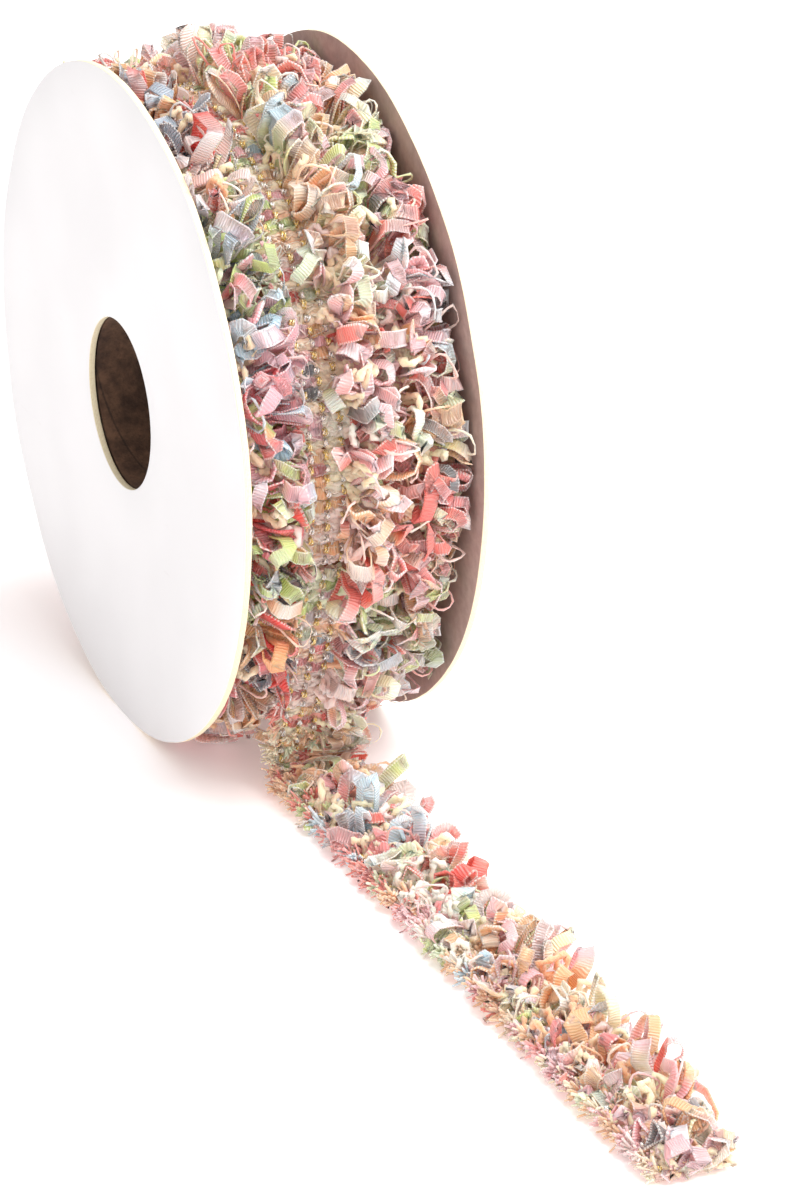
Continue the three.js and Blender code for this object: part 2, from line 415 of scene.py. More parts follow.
drop_length = leaving_z - bend_z - BEND_RADIUS * math.sin(LEAVES_ROLL_AT)
drop_length /= math.cos(LEAVES_ROLL_AT)
bend_y = leaving_y + drop_length * math.sin(LEAVES_ROLL_AT)
bend_y -= BEND_RADIUS * math.cos(LEAVES_ROLL_AT)
bend_start = wrap_length + drop_length
bend_length = BEND_RADIUS * (math.pi / 2 + LEAVES_ROLL_AT)
tail_end_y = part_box("tail_band")[0].y
tail_length = bend_start + bend_length + bend_y - tail_end_y
FLOOR_GAP = 0.12 * MM


def lane(turns, column):
    """What holds for the ribbon at a number of turns inwards, eased between the lanes."""
    rows = np.array(LANES["turns"])
    values = np.array(LANES[column]) * MM
    row = np.clip(np.searchsorted(rows, turns, side="right") - 1, 0, len(rows) - 2)
    share = np.clip((turns - rows[row]) / (rows[row + 1] - rows[row]), 0, 1)
    share = share * share * (3 - 2 * share)
    return values[row] + (values[row + 1] - values[row]) * share


def beyond(value, limit, softness):
    """How much has to come off a value so that it stays softly under its limit."""
    over = np.maximum(value - limit + softness, 0)
    return over - softness * np.tanh(over / softness)


def wound(along, across, height):
    """Places in the turns on the reel: pile that meets a neighbour or a flange stands up."""
    turns = -along / turn_length
    angle = START_ANGLE + math.tau * turns
    x = across + lane(turns, "middle")
    pressed_right = beyond(x, lane(turns, "right limit"), LANE_SOFTNESS)
    pressed_left = beyond(-x, roll_high.x, FLANGE_SOFTNESS)
    x = x - pressed_right + pressed_left
    height = height + STANDS_UP * (pressed_right + pressed_left)
    radius = lane(turns, "underside") + height
    over_floor = (AXLE.z - FLOOR_GAP) / np.maximum(-np.sin(angle), 0.5)
    radius = radius - beyond(radius, np.minimum(lane(turns, "tallest"), over_floor), TOP_SOFTNESS)
    return np.stack([x, AXLE.y - radius * np.cos(angle), AXLE.z + radius * np.sin(angle)], -1)


def loose(along, across, height):
    """Places in the loose end, which leaves the roll, drops and bends out along the floor."""
    along = along - beyond(along, tail_length, 0.3 * MM)
    pressed = np.clip((tail_length - along) / PRESSED_LENGTH, 0, 1)
    height = height * (END_PRESSED + (1 - END_PRESSED) * np.sin(pressed * math.pi / 2))
    turned = START_ANGLE - np.minimum(along, wrap_length) / path_radius
    slope = -turned - np.clip(along - bend_start, 0, bend_length) / BEND_RADIUS
    face_y, face_z = -np.cos(slope), -np.sin(slope)
    over = height - half_band
    in_bend = np.clip(BEND_REACH - np.abs(along - bend_start - bend_length / 2) / bend_length, 0, 1)
    over = over - in_bend * beyond(over, BEND_RADIUS, BEND_RADIUS * 0.9)
    dropped = np.clip(along - wrap_length, 0, drop_length)
    base_y = AXLE.y - path_radius * np.cos(turned) + dropped * math.sin(LEAVES_ROLL_AT)
    base_z = AXLE.z + path_radius * np.sin(turned) - dropped * math.cos(LEAVES_ROLL_AT)
    bent = along > bend_start
    base_y = np.where(bent, bend_y - BEND_RADIUS * face_y, base_y)
    base_z = np.where(bent, bend_z - BEND_RADIUS * face_z, base_z)
    run = np.maximum(along - bend_start - bend_length, 0)
    base_y = base_y - run
    drift = TAIL_DRIFT * run / (tail_length - bend_start - bend_length)
    x = across + lane(np.zeros(1), "middle") + drift
    return np.stack([x, base_y + over * face_y, base_z + over * face_z], -1)


def lie(places):
    """Turns places in the ribbon into places in the scene."""
    along, across, height = np.moveaxis(places, -1, 0)
    made = np.where(
        (along < 0)[..., None],
        wound(np.minimum(along, 0), across, height),
        loose(np.maximum(along, 0), across, height),
    )
    made[..., 2] = np.maximum(made[..., 2], FLOOR_GAP)
    return made


# The tapes and the fluffy yarn are space-dyed before weaving, so their colour changes every few wefts.

DYES = {
    "coral": linear(238, 84, 78),
    "rose": linear(246, 126, 130),
    "pink": linear(251, 172, 180),
    "blush": linear(252, 212, 206),
    "peach": linear(250, 176, 130),
    "cream": linear(253, 232, 188),
    "green": linear(196, 212, 132),
    "mint": linear(222, 236, 190),
    "sky": linear(190, 220, 236),
    "ice": linear(244, 249, 253),
    "grey": linear(158, 170, 182),
    "charcoal": linear(84, 90, 100),
    "beige": linear(250, 214, 176),
    "milk": linear(254, 242, 224),
}
TAPE_DYES = {
    "coral": 20,
    "rose": 13,
    "pink": 14,
    "blush": 8,
    "peach": 14,
    "cream": 9,
    "green": 11,
    "mint": 5,
    "sky": 5,
    "ice": 2,
    "grey": 3,
    "charcoal": 4,
}
YARN_DYES = {"cream": 28, "beige": 34, "blush": 16, "milk": 8, "ice": 2, "mint": 4, "peach": 10}
MILK = np.array(DYES["milk"])
WEFT_PITCH = 1.75 * MM
STRETCHES = {  # from and to along the ribbon: on the roll they are turns
    "tail": {"from": 0, "to": tail_length},
    "last_turn": {"from": -0.92, "to": 0},
    "left_turn": {"from": -1.80, "to": -0.92},
    "right_turn": {"from": -2.70, "to": -1.80},
    "under_turn": {"from": -3.25, "to": -2.70},
}
OWN_DYES_AND_SHADE = {  # where a stretch happens to have more or less of a dye
    "tail": {"coral": 19, "rose": 14, "pink": 17},
    # The left turn's extra grey and charcoal are partly its own dyes and partly painted shade from the
    # near flange.
    "left_turn": {"grey": 6, "charcoal": 12, "cream": 7, "mint": 3},
}
KEPT_BY_NEIGHBOUR = {"tapes": (0.65, 0.55), "yarn": 0.6}
FIRST_CARRIER = 0.6  # share of the tapes that have the first of the two dyes of their weft
STRAYS = 0.3  # share of the tapes that lie over from another weft
draw = np.random.default_rng(281)


def dye_run(count, shares, keep):
    """Dyes for a row of wefts: each keeps its neighbour's colour with a chance of keep."""
    weights = np.array([*shares.values()], float)
    fresh = draw.choice(len(weights), size=count, p=weights / weights.sum())
    for i in range(1, count):
        if draw.random() < keep:
            fresh[i] = fresh[i - 1]
    return np.array([DYES[name] for name in shares])[fresh]


def shaded(colours, spread):
    """The same colours, each a little lighter or darker."""
    return colours * (1 + spread * draw.standard_normal(colours.shape[:-1])[..., None])


for name, stretch in STRETCHES.items():
    for end in ("from", "to"):
        if stretch[end] < 0:
            stretch[end] *= turn_length
    stretch["wefts"] = int((stretch["to"] - stretch["from"]) / WEFT_PITCH)
    dyes = TAPE_DYES | OWN_DYES_AND_SHADE.get(name, {})
    wefts = stretch["wefts"]
    stretch["tapes"] = [dye_run(wefts, dyes, keep) for keep in KEPT_BY_NEIGHBOUR["tapes"]]
    stretch["yarn"] = dye_run(wefts, YARN_DYES, KEPT_BY_NEIGHBOUR["yarn"])


def spots(stretch, pitch, wander):
    """Unevenly spaced places along a stretch, and which weft each belongs to."""
    count = int((stretch["to"] - stretch["from"]) / pitch)
    places = stretch["from"] + (np.arange(count) + 0.5) * pitch
    places = places + draw.normal(0, wander * pitch, count)
    weft = (places - stretch["from"]) / WEFT_PITCH
    return places, np.clip(weft.astype(int), 0, stretch["wefts"] - 1)


def tape_dye(stretch, weft, stray=6):
    """The dye of a tape from one of the two carriers of a weft, some from as far as stray wefts away."""
    first = draw.random((len(weft), 1)) < FIRST_CARRIER
    strays = draw.integers(-stray, stray + 1, len(weft)) * (draw.random(len(weft)) < STRAYS)
    weft = np.clip(weft + strays, 0, stretch["wefts"] - 1)
    return np.where(first, stretch["tapes"][0][weft], stretch["tapes"][1][weft])


def bleached(colours, share):
    """The same colours, faded towards milk white by a share."""
    return colours + (MILK - colours) * share


# Every strand is a row of sections, each a ring of corners, closed at both ends. It carries its dye
# and its weave: place over the width, length along the strand, and a number of its own.

ALONG = np.array([1.0, 0.0, 0.0])


def unit(vectors):
    return vectors / np.maximum(np.linalg.norm(vectors, axis=-1, keepdims=True), 1e-9)


def round_section(sides, radius):
    around = (np.arange(sides) + 0.5) * math.tau / sides
    return np.stack([np.cos(around), np.sin(around)], -1) * radius


def array_mesh(name, places, faces, marks):
    """A smooth mesh from arrays: places, faces by their number of corners, and marks at its points."""
    turns = np.concatenate([corners.ravel() for corners in faces])
    sizes = np.concatenate([np.full(len(corners), corners.shape[1]) for corners in faces])
    mesh = bpy.data.meshes.new(name)
    mesh.vertices.add(len(places))
    mesh.vertices.foreach_set("co", places.ravel().astype(np.float32))
    mesh.loops.add(len(turns))
    mesh.loops.foreach_set("vertex_index", turns.astype(np.int32))
    mesh.polygons.add(len(sizes))
    mesh.polygons.foreach_set("loop_start", (np.cumsum(sizes) - sizes).astype(np.int32))
    mesh.update(calc_edges=True)
    mesh.shade_smooth()
    for mark, (kind, field, values) in marks.items():
        mesh.attributes.new(mark, kind, "POINT")
        mesh.attributes[mark].data.foreach_set(field, values.ravel().astype(np.float32))
    return mesh


def strands(name, path, broadside, section, dye, material):
    """One mesh of many strands. Sections are (width, thickness) places, laid square over the path."""
    count, sections = path.shape[:2]
    way = unit(np.gradient(path, axis=1))
    wide = unit(broadside - (broadside * way).sum(-1, keepdims=True) * way)[:, :, None]
    section = np.broadcast_to(section, (count, sections, *section.shape[-2:]))
    sides = section.shape[2]
    through = np.cross(way[:, :, None], wide)
    corners = path[:, :, None] + wide * section[..., :1] + through * section[..., 1:]
    places = lie(corners.reshape(-1, 3))
    index = np.arange(len(places)).reshape(count, sections, sides)
    near, far = index[:, :-1], index[:, 1:]
    quads = np.stack([near, np.roll(near, -1, 2), np.roll(far, -1, 2), far], -1).reshape(-1, 4)
    ends = np.concatenate([index[:, 0, ::-1], index[:, -1]])
    a, b, c = (places[quads[:, i]] for i in range(3))
    if (a * np.cross(b, c)).sum() < 0:
        quads, ends = quads[:, ::-1], ends[:, ::-1]
    steps = np.linalg.norm(np.diff(path, axis=1), axis=-1)
    weave = np.empty((count, sections, sides, 3))
    weave[..., 0] = section[..., 0] / np.abs(section[..., 0]).max(-1, keepdims=True)
    weave[:, 0, :, 1] = 0
    weave[:, 1:, :, 1] = np.cumsum(steps, axis=1)[..., None]
    weave[..., 2] = draw.random(count)[:, None, None]
    colour = np.ones((count, sections, sides, 4))
    colour[..., :3] = np.clip(dye, 0, 1)[:, :, None]
    marks = {"dye": ("FLOAT_COLOR", "color", colour), "weave": ("FLOAT_VECTOR", "vector", weave)}
    piece = link(name, array_mesh(name, places, [quads, ends], marks), material)
    return piece


def dye_of(finish):
    return finish.node("Attribute", {"attribute_name": "dye"}, {}, out="Color")


# Places over the weave are in mm.

STITCH_LINES = [-6.0, -3.6, -1.2]
CELL_EDGES = np.array([-7.5, *STITCH_LINES, 1.0])
CELLS = len(CELL_EDGES) - 1
PILLOW_SIDES = 6
PILLOW_HALF_LENGTH = 1.1
PILLOW_HEIGHT = 0.78
PILLOW_MIDDLE = 1.1
PINCH = 0.7
PINCH_REACH = 0.8
FULLNESS = (0.85, 1.25)
ROUGH = 0.08
TAPED_SHARE = 0.5
PILLOW_BLEACH = 0.2
PILLOW_SECTIONS = {"tail": 18, "last_turn": 18, "left_turn": 10, "right_turn": 8, "under_turn": 8}
FIBRES = {  # what lies over the cells of the weave: sizes in mm, slant in radians
    "tufts": {"radius": 0.28, "half": 0.85, "slant": 0.5, "lift": 0.45, "bleach": 0.2},
    "hairs": {"radius": 0.11, "half": 1.1, "slant": 0.9, "lift": 0.8, "bleach": 0.6},
}
FIBRES_IN_CELL = {
    "tail": {"tufts": 3, "hairs": 1},
    "last_turn": {"tufts": 4, "hairs": 1},
}
FIBRE_HEIGHT = 1.6
fibre_reach = np.array([-1.0, -0.4, 0.4, 1.0])


# Fluffy fibre. Its pale tone also glows faintly from the surface: painted light that lifts the fibres'
# shade in place of light passing through them.
def fluffy(name, fluff, softening, streaks, painted_glow):
    finish = Finish(name)
    dye = dye_of(finish)
    drawn = finish.node("Mapping", {}, {"Vector": finish.place(), "Scale": (streaks, 1, 1)})
    tufts = finish.noise(1700.0, drawn, detail=4.0, roughness=0.7)
    dark = finish.mix(0.16, dye, (0.8, 0.46, 0.34, 1), mode="MULTIPLY")
    light = finish.mix(softening, dye, linear(255, 243, 226, 1))
    shade = finish.mix(tufts.ramp(0.3, 0.55), dark, light)
    return finish.surface(
        Base_Color=shade,
        Roughness=0.88,
        Normal=finish.bump(tufts, 0.8, fluff),
        Subsurface_Weight=0.6,
        Subsurface_Radius=(1.0, 0.75, 0.65),
        Subsurface_Scale=0.0014,
        Sheen_Weight=0.35,
        Sheen_Roughness=0.5,
        Specular_IOR_Level=0.3,
        Emission_Color=light,
        Emission_Strength=painted_glow,
    )


pillow_finish = fluffy("weft_pillows", 0.0003, 0.3, 0.35, 0.08)
yarn_finish = fluffy("fluffy_yarn", 0.0004, 0.2, 1.0, 0.05)

for name, stretch in STRETCHES.items():
    middle, weft = spots(stretch, WEFT_PITCH, 0.03)
    count = len(middle)
    sections = PILLOW_SECTIONS[name]
    across = np.broadcast_to(np.linspace(CELL_EDGES[0], CELL_EDGES[-1], sections), (count, sections))
    nearest = np.min([np.abs(across - line) for line in STITCH_LINES], axis=0)
    cell = np.searchsorted(STITCH_LINES, across[0])
    full = PINCH + (1 - PINCH) * np.clip(nearest / PINCH_REACH, 0, 1)
    full = full * draw.uniform(*FULLNESS, (count, CELLS))[:, cell]
    full = full * (1 + ROUGH * draw.standard_normal(full.shape))
    path = np.stack([middle[:, None] + 0 * across, across * MM, PILLOW_MIDDLE * MM + 0 * across], -1)
    path[..., ::2] += ROUGH * MM * draw.standard_normal((count, sections, 2))
    section = round_section(PILLOW_SIDES, MM) * [PILLOW_HALF_LENGTH, PILLOW_HEIGHT]
    section = section * full[:, :, None, None]
    section = section * (1 + 0.1 * draw.standard_normal((count, sections, PILLOW_SIDES, 1)))
    taped = draw.random((count, CELLS)) < TAPED_SHARE
    tapes = np.stack([tape_dye(stretch, weft) for _ in range(CELLS)], 1)
    yarns = np.repeat(stretch["yarn"][weft][:, None], CELLS, 1)
    cell_dye = bleached(np.where(taped[..., None], tapes, yarns), PILLOW_BLEACH)
    stretch |= {"middles": middle, "taped": taped, "cell tapes": tapes}
    dye = shaded(cell_dye[:, cell], 0.05)
    strands(name + "_wefts", path, ALONG, section, dye, pillow_finish)

    for kind, number in FIBRES_IN_CELL.get(name, {}).items():
        fibre = FIBRES[kind]
        row, cell = (np.repeat(i.ravel(), number) for i in np.indices((count, CELLS)))
        many = len(row)
        half = fibre["half"] * draw.uniform(0.7, 1.3, (many, 1))
        slant = draw.normal(0, fibre["slant"], (many, 1))
        centre = (CELL_EDGES[cell] + CELL_EDGES[cell + 1]) / 2 + draw.normal(0, 0.4, many)
        curl = draw.normal(0, 0.12, (3, many, len(fibre_reach)))
        arch = fibre["lift"] * draw.uniform(0.2, 1.2, (many, 1)) * (1 - fibre_reach**2)
        along = (middle[row] / MM + draw.normal(0, 0.5, many))[:, None]
        along = along + half * np.sin(slant) * fibre_reach
        across = centre[:, None] + half * np.cos(slant) * fibre_reach
        path = np.moveaxis(np.stack([along, across, FIBRE_HEIGHT + arch]) + curl, 0, -1) * MM
        thick = fibre["radius"] * draw.uniform(0.7, 1.2, (many, 1)) * [0.55, 1, 1, 0.55]
        section = round_section(3, MM) * thick[..., None, None]
        dye = bleached(cell_dye[row, cell], fibre["bleach"] * draw.uniform(0.4, 1.2, (many, 1)))
        dye = shaded(dye, 0.06)[:, None]
        strands(f"{name}_{kind}", path, ALONG, section, dye, yarn_finish)

# Metallic stitches. Each warp line is three lurex threads, gold and silver by turns, twisted once over
# every bunch of weft.

STITCH_SECTIONS = 5
STITCH_SIDES = 3
STITCH_RADIUS = 0.18 * MM
STRANDS_IN_STITCH = 3
STITCH_TWIST = 1.7
TWIST_RADIUS = 0.27
STITCH_HEIGHT = 2.35
STITCH_DIP = 0.6
METALS = {"gold": linear(250, 218, 130), "silver": linear(244, 245, 249)}
STITCH_HALVES = {"gold": 0.62, "silver": 0.5}


def lurex():
    finish = Finish("lurex")
    dye = dye_of(finish)
    facets_and_painted_glints = finish.noise(4200.0, detail=2.0)
    # Dark specks and near-white glints are painted into the base colour: painted reflections in place of
    # the sparkle of the metal film.
    shade = finish.mix(facets_and_painted_glints.ramp(0.3, 0.42), (0.2, 0.12, 0.05, 1), dye)
    shade = finish.mix(facets_and_painted_glints.ramp(0.5, 0.58), shade, linear(255, 250, 230, 1))
    return finish.surface(
        Base_Color=shade,
        Metallic=0.5,
        Roughness=0.25,
        Normal=finish.bump(facets_and_painted_glints, 0.8, 0.00015),
    )


lurex_finish = lurex()
reach = np.linspace(-1, 1, STITCH_SECTIONS)
for name in ("tail", "last_turn"):
    stretch = STRETCHES[name]
    paths = []
    dyes = []
    for line_number, line in enumerate(STITCH_LINES):
        middle = spots(stretch, WEFT_PITCH, 0.07)[0][:, None]
        count = len(middle)
        gold = (np.arange(count)[:, None] + line_number) % 2 == 0
        half = np.where(gold, STITCH_HALVES["gold"], STITCH_HALVES["silver"])
        half = half * draw.uniform(0.8, 1.2, count)[:, None] * MM
        for side in range(STRANDS_IN_STITCH):
            twist = reach * STITCH_TWIST + draw.uniform(0, 1.2, (count, 1))
            twist = twist + side * math.tau / STRANDS_IN_STITCH
            aside = (TWIST_RADIUS * np.cos(twist) + draw.normal(0, 0.07, (count, 1)) + line) * MM
            rise = (STITCH_HEIGHT - STITCH_DIP * reach**2 + 0.15 * np.sin(twist)) * MM
            paths.append(np.stack([middle + half * reach, aside, rise], -1))
            dyes.append(np.where(gold, METALS["gold"], METALS["silver"]))
    path = np.concatenate(paths)
    dye = np.concatenate(dyes)[:, None]
    section = round_section(STITCH_SIDES, STITCH_RADIUS)
    broadside = np.array([0.0, 1.0, 0.0])
    strands(name + "_stitches", path, broadside, section, dye, lurex_finish)

# Tape loops. Flat satin tape with a thread along both edges and fine ribs across, floated out of the
# band's right edge in loops that stand, lie or twist over, and now and then fan out.

LOOP_TABLE = {  # for each stretch in turn, in mm and degrees
    "gap": [0.40, 0.41, 0.45, 0.43, 1.9],
    "rise": [42, 56, 48, 54, 30],
    "spread": [34, 34, 36, 30, 25],
    "past": [135, 122, 135, 115, 100],
    "length": [5.4, 7.4, 7.2, 7.2, 7.0],
    "root": [-0.6, -0.9, -3.6, -0.6, 0],
    # The left turn's tapes are not faded, so that they stay darker: painted shade from the near flange.
    "faded": [0.12, 0.17, 0, 0.14, 0],
}
LENGTH_SPREAD = 1.8
LENGTH_LIMITS = (2.8, 10.2)
OPENING_LIMITS = (0.3, 2.4)
SWAY = 30  # degrees
CRUMPLE = 0.45
TWIST = 0.4
FANNED = 0.12  # share of the loops that open as a fan
HALF_WIDTHS = (0.7, 1.2)
CUPPED = 0.22
PAINTED_SHINE_REACH = 0.24
ROOT_EDGE = 1.8
ROOT_HEIGHTS = (0.8, 1.7)
LEFT_SHORTER = 0.5  # share by which the loops furthest to the left are shorter
COVER = 6.0  # how much further left the loose end's loops are rooted along the floor
COVER_FROM = 31 * MM
COVER_TO = 43 * MM
TAPE_SECTIONS = 12
LOOP_POINTS = np.array(  # share of the length out, and of the opening to the sides
    [
        (0.00, -0.10),
        (0.36, -0.45),
        (0.78, -1.00),
        (1.00, -0.66),
        (1.00, 0.66),
        (0.78, 1.00),
        (0.36, 0.45),
        (0.00, 0.10),
    ]
)
TAPE_SECTION = np.array(  # share of half the width, thickness in mm, share of the cupping
    [
        (-1.00, 0.15, 0),
        (-0.76, 0.03, 0.6),
        (0.76, 0.03, 0.6),
        (1.00, 0.15, 0),
        (1.00, -0.10, 0),
        (-1.00, -0.10, 0),
    ]
)
RIB_PITCH = 0.40 * MM
EDGE_STARTS = 0.76


def weave_of(finish, axis):
    weave = finish.node("Attribute", {"attribute_name": "weave"}, {}, out="Vector")
    return finish.node("SeparateXYZ", {}, {0: weave}, out=axis)


def satin_tape():
    finish = Finish("satin_tape")
    dye = dye_of(finish)
    over = weave_of(finish, "X").size()
    along = weave_of(finish, "Y")
    chance = weave_of(finish, "Z")
    edge = over.ramp(EDGE_STARTS, EDGE_STARTS + 0.12)
    ribs = (along * (math.tau / RIB_PITCH)).sine()
    pale = finish.mix(0.45, dye, linear(255, 247, 240, 1))
    deep = finish.mix(0.24, dye, dye, mode="MULTIPLY")
    beads = finish.mix(ribs.ramp(-0.9, 0.1), deep, pale)
    cord = finish.mix(chance.ramp(0.6, 0.75), beads, deep)
    shade = finish.mix(ribs.ramp(-1.0, 0.5), deep, dye)
    shade = finish.mix(edge, shade, cord)
    height = ribs * (1 + edge * 0.6)
    return finish.surface(
        Base_Color=shade,
        Roughness=edge.ramp(0.0, 1.0, 0.26, 0.55),
        Normal=finish.bump(height, 0.5, 0.00014),
        Subsurface_Weight=0.8,
        Subsurface_Radius=(1.0, 0.75, 0.65),
        Subsurface_Scale=0.0012,
        Sheen_Weight=0.15,
        Specular_IOR_Level=0.6,
    )


tape_finish = satin_tape()

for number, stretch in enumerate(STRETCHES.values()):
    stretch |= {what: values[number] for what, values in LOOP_TABLE.items()}


def turned_about(vectors, axis, angle):
    """Turns each vector about its own axis by an angle."""
    cosine, sine = np.cos(angle)[..., None], np.sin(angle)[..., None]
    along = (vectors * axis).sum(-1, keepdims=True) * axis
    return along + (vectors - along) * cosine + np.cross(axis, vectors) * sine


def smoothed(points, sections):
    """Sections at even steps on smooth curves through each strand's points."""
    last = points.shape[1] - 1
    place = np.linspace(0, last, sections)
    weights = np.zeros((sections, last + 3))
    for row, at in zip(weights, place):
        first = min(int(at), last - 1)
        s = at - first
        row[first] = -0.5 * s + s**2 - 0.5 * s**3
        row[first + 1] = 1 - 2.5 * s**2 + 1.5 * s**3
        row[first + 2] = 0.5 * s + 2 * s**2 - 1.5 * s**3
        row[first + 3] = -0.5 * s**2 + 0.5 * s**3
    before = 2 * points[:, :1] - points[:, 1:2]
    after = 2 * points[:, -1:] - points[:, -2:-1]
    return np.einsum("sk,nkc->nsc", weights, np.concatenate([before, points, after], 1))


def loops(stretch, roots, length, opening, crumple, sections):
    """Loops that leave their roots, open to a rather flat tip and come back, and their broad sides."""
    count = len(roots)
    rise = np.clip(draw.normal(stretch["rise"], stretch["spread"], count), 0, stretch["past"])
    rise = np.radians(rise)
    lean = np.radians(draw.normal(0, SWAY, count))
    flat = np.stack([np.sin(lean), np.cos(lean), 0 * lean], -1)
    out = flat * np.cos(rise)[:, None] + np.array([0, 0, 1]) * np.sin(rise)[:, None]
    aside = unit(np.cross(out, draw.standard_normal((count, 3))))
    points = roots[:, None] + out[:, None] * (LOOP_POINTS[:, :1] * length[:, None, None])
    points = points + aside[:, None] * (LOOP_POINTS[:, 1:] * opening[:, None, None])
    loose_share = np.minimum(1, 2 * LOOP_POINTS[:, :1])
    points = points + crumple * MM * loose_share * draw.standard_normal(points.shape)
    return smoothed(points, sections), np.cross(out, aside)[:, None]


def rooted(stretch, places, wider=1.0):
    """Roots of loops, spread wider by a factor, and how far to the left each is, from 0 to 1."""
    cover = np.clip((places - COVER_FROM) / (COVER_TO - COVER_FROM), 0, 1) * COVER
    low = stretch["root"] * wider - cover
    across = ROOT_EDGE + (low - ROOT_EDGE) * draw.random(len(places))
    height = draw.uniform(*ROOT_HEIGHTS, len(places))
    return np.stack([places, across * MM, height * MM], -1), np.clip(-across / COVER, 0, 1)


def tapes(name, path, broadside, half_width, dye):
    """Cupped flat tape along each path, as wide as its half widths say, in mm."""
    count, sections = path.shape[:2]
    cupped = draw.normal(0, CUPPED, (count, 1)) + draw.normal(0, 0.15, (count, sections))
    section = np.empty((count, sections, len(TAPE_SECTION), 2))
    section[..., 0] = TAPE_SECTION[:, 0] * half_width[..., None] * MM
    section[..., 1] = (TAPE_SECTION[:, 1] + TAPE_SECTION[:, 2] * cupped[..., None]) * MM
    strands(name, path, broadside, section, dye, tape_finish)


for name, stretch in STRETCHES.items():
    places, weft = spots(stretch, stretch["gap"] * MM, 0.4)
    count = len(places)
    roots, left = rooted(stretch, places)
    length = np.clip(draw.normal(stretch["length"], LENGTH_SPREAD, count), *LENGTH_LIMITS)
    length = length * (1 - LEFT_SHORTER * left) * MM
    opening = np.clip(draw.gamma(5.0, 0.25, count), *OPENING_LIMITS) * MM
    path, broadside = loops(stretch, roots, length, opening, CRUMPLE, TAPE_SECTIONS)
    share = np.linspace(-1, 1, TAPE_SECTIONS)
    twist = draw.normal(0, TWIST, (count, 1)) + draw.normal(0, 2 * TWIST, (count, 1)) * share
    twist = twist + np.where(draw.random((count, 1)) < FANNED, math.pi / 2, 0)
    broadside = turned_about(broadside, unit(np.gradient(path, axis=1)), twist)
    half_width = draw.uniform(*HALF_WIDTHS, (count, 1)) * (1 - 0.5 * np.abs(share) ** 5)
    here = tape_dye(stretch, weft)[:, None]
    near_by = np.clip(weft + draw.integers(-3, 4, count), 0, stretch["wefts"] - 1)
    there = tape_dye(stretch, near_by)[:, None]
    change = 0.5 + 2.5 * (share[:, None] - draw.uniform(-1, 1, (count, 1, 1)))
    dye = here + (there - here) * np.clip(change, 0, 1)
    # A painted highlight: near the tip of some loops the dye is whitened in a patch, in place of the
    # satin's shine.
    painted_shine = draw.uniform(-0.5, 0.7, (count, 1))
    from_painted_shine = (share - draw.normal(0, 0.2, (count, 1))) / PAINTED_SHINE_REACH
    painted_shine = np.maximum(painted_shine * np.exp(-(from_painted_shine**2)), 0)[..., None]
    dye = bleached(dye + (1 - dye) * painted_shine, stretch["faded"])
    tapes(name + "_tapes", path, broadside, half_width, shaded(dye, 0.03))
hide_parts("tail_loops")

# Loose edge threads. Here and there an edge thread has come off its tape, and stands out alone in a
# thin, round, beaded loop.

THREAD_GAPS = {"tail": 2.6, "last_turn": 2.2, "left_turn": 2.8, "right_turn": 2.4}
THREAD_SECTIONS = 15
THREAD_SIDES = 4
THREAD_RADIUS = 0.18 * MM
THREAD_BEADS = 0.25
THREAD_LONGER = 1.2
THREAD_LENGTHS = (3.0, 10.5)
THREAD_OPENINGS = (0.9, 2.3)
THREAD_CRUMPLE = 0.2

for name, gap in THREAD_GAPS.items():
    stretch = STRETCHES[name]
    places, weft = spots(stretch, gap * MM, 0.4)
    count = len(places)
    roots, left = rooted(stretch, places)
    length = draw.normal(stretch["length"] + THREAD_LONGER, 1.4, count)
    length = np.clip(length, *THREAD_LENGTHS) * (1 - LEFT_SHORTER * left) * MM
    opening = draw.uniform(*THREAD_OPENINGS, count) * MM
    path, broadside = loops(stretch, roots, length, opening, THREAD_CRUMPLE, THREAD_SECTIONS)
    beads = 1 + THREAD_BEADS * (-1.0) ** np.arange(THREAD_SECTIONS)[:, None, None]
    section = round_section(THREAD_SIDES, THREAD_RADIUS) * beads
    dye = bleached(tape_dye(stretch, weft), draw.uniform(0, 0.8, (count, 1)))
    dye = shaded(dye, 0.05)[:, None]
    strands(name + "_threads", path, broadside, section, dye, yarn_finish)

# Tape crossings. Where a bunch of weft holds tape, the tape bulges between the stitches as a small
# shiny patch, and on the left edge its cut ends stick out.

CROSSING_SECTIONS = 5
STUB_SECTIONS = 4
STUBS = {"tail": 2, "last_turn": 1}
STUB_LENGTHS = (0.9, 2.2)
STUB_STARTS = (0.2, 2.4)
STUB_HEIGHT = 1.3
STUB_HALF_WIDTHS = (0.55, 0.9)
CROSSING_HEIGHT = 1.65
CROSSING_HALF_WIDTHS = (0.65, 1.05)
EDGE_ROOM = 0.2
BULGES = (0.25, 0.75)

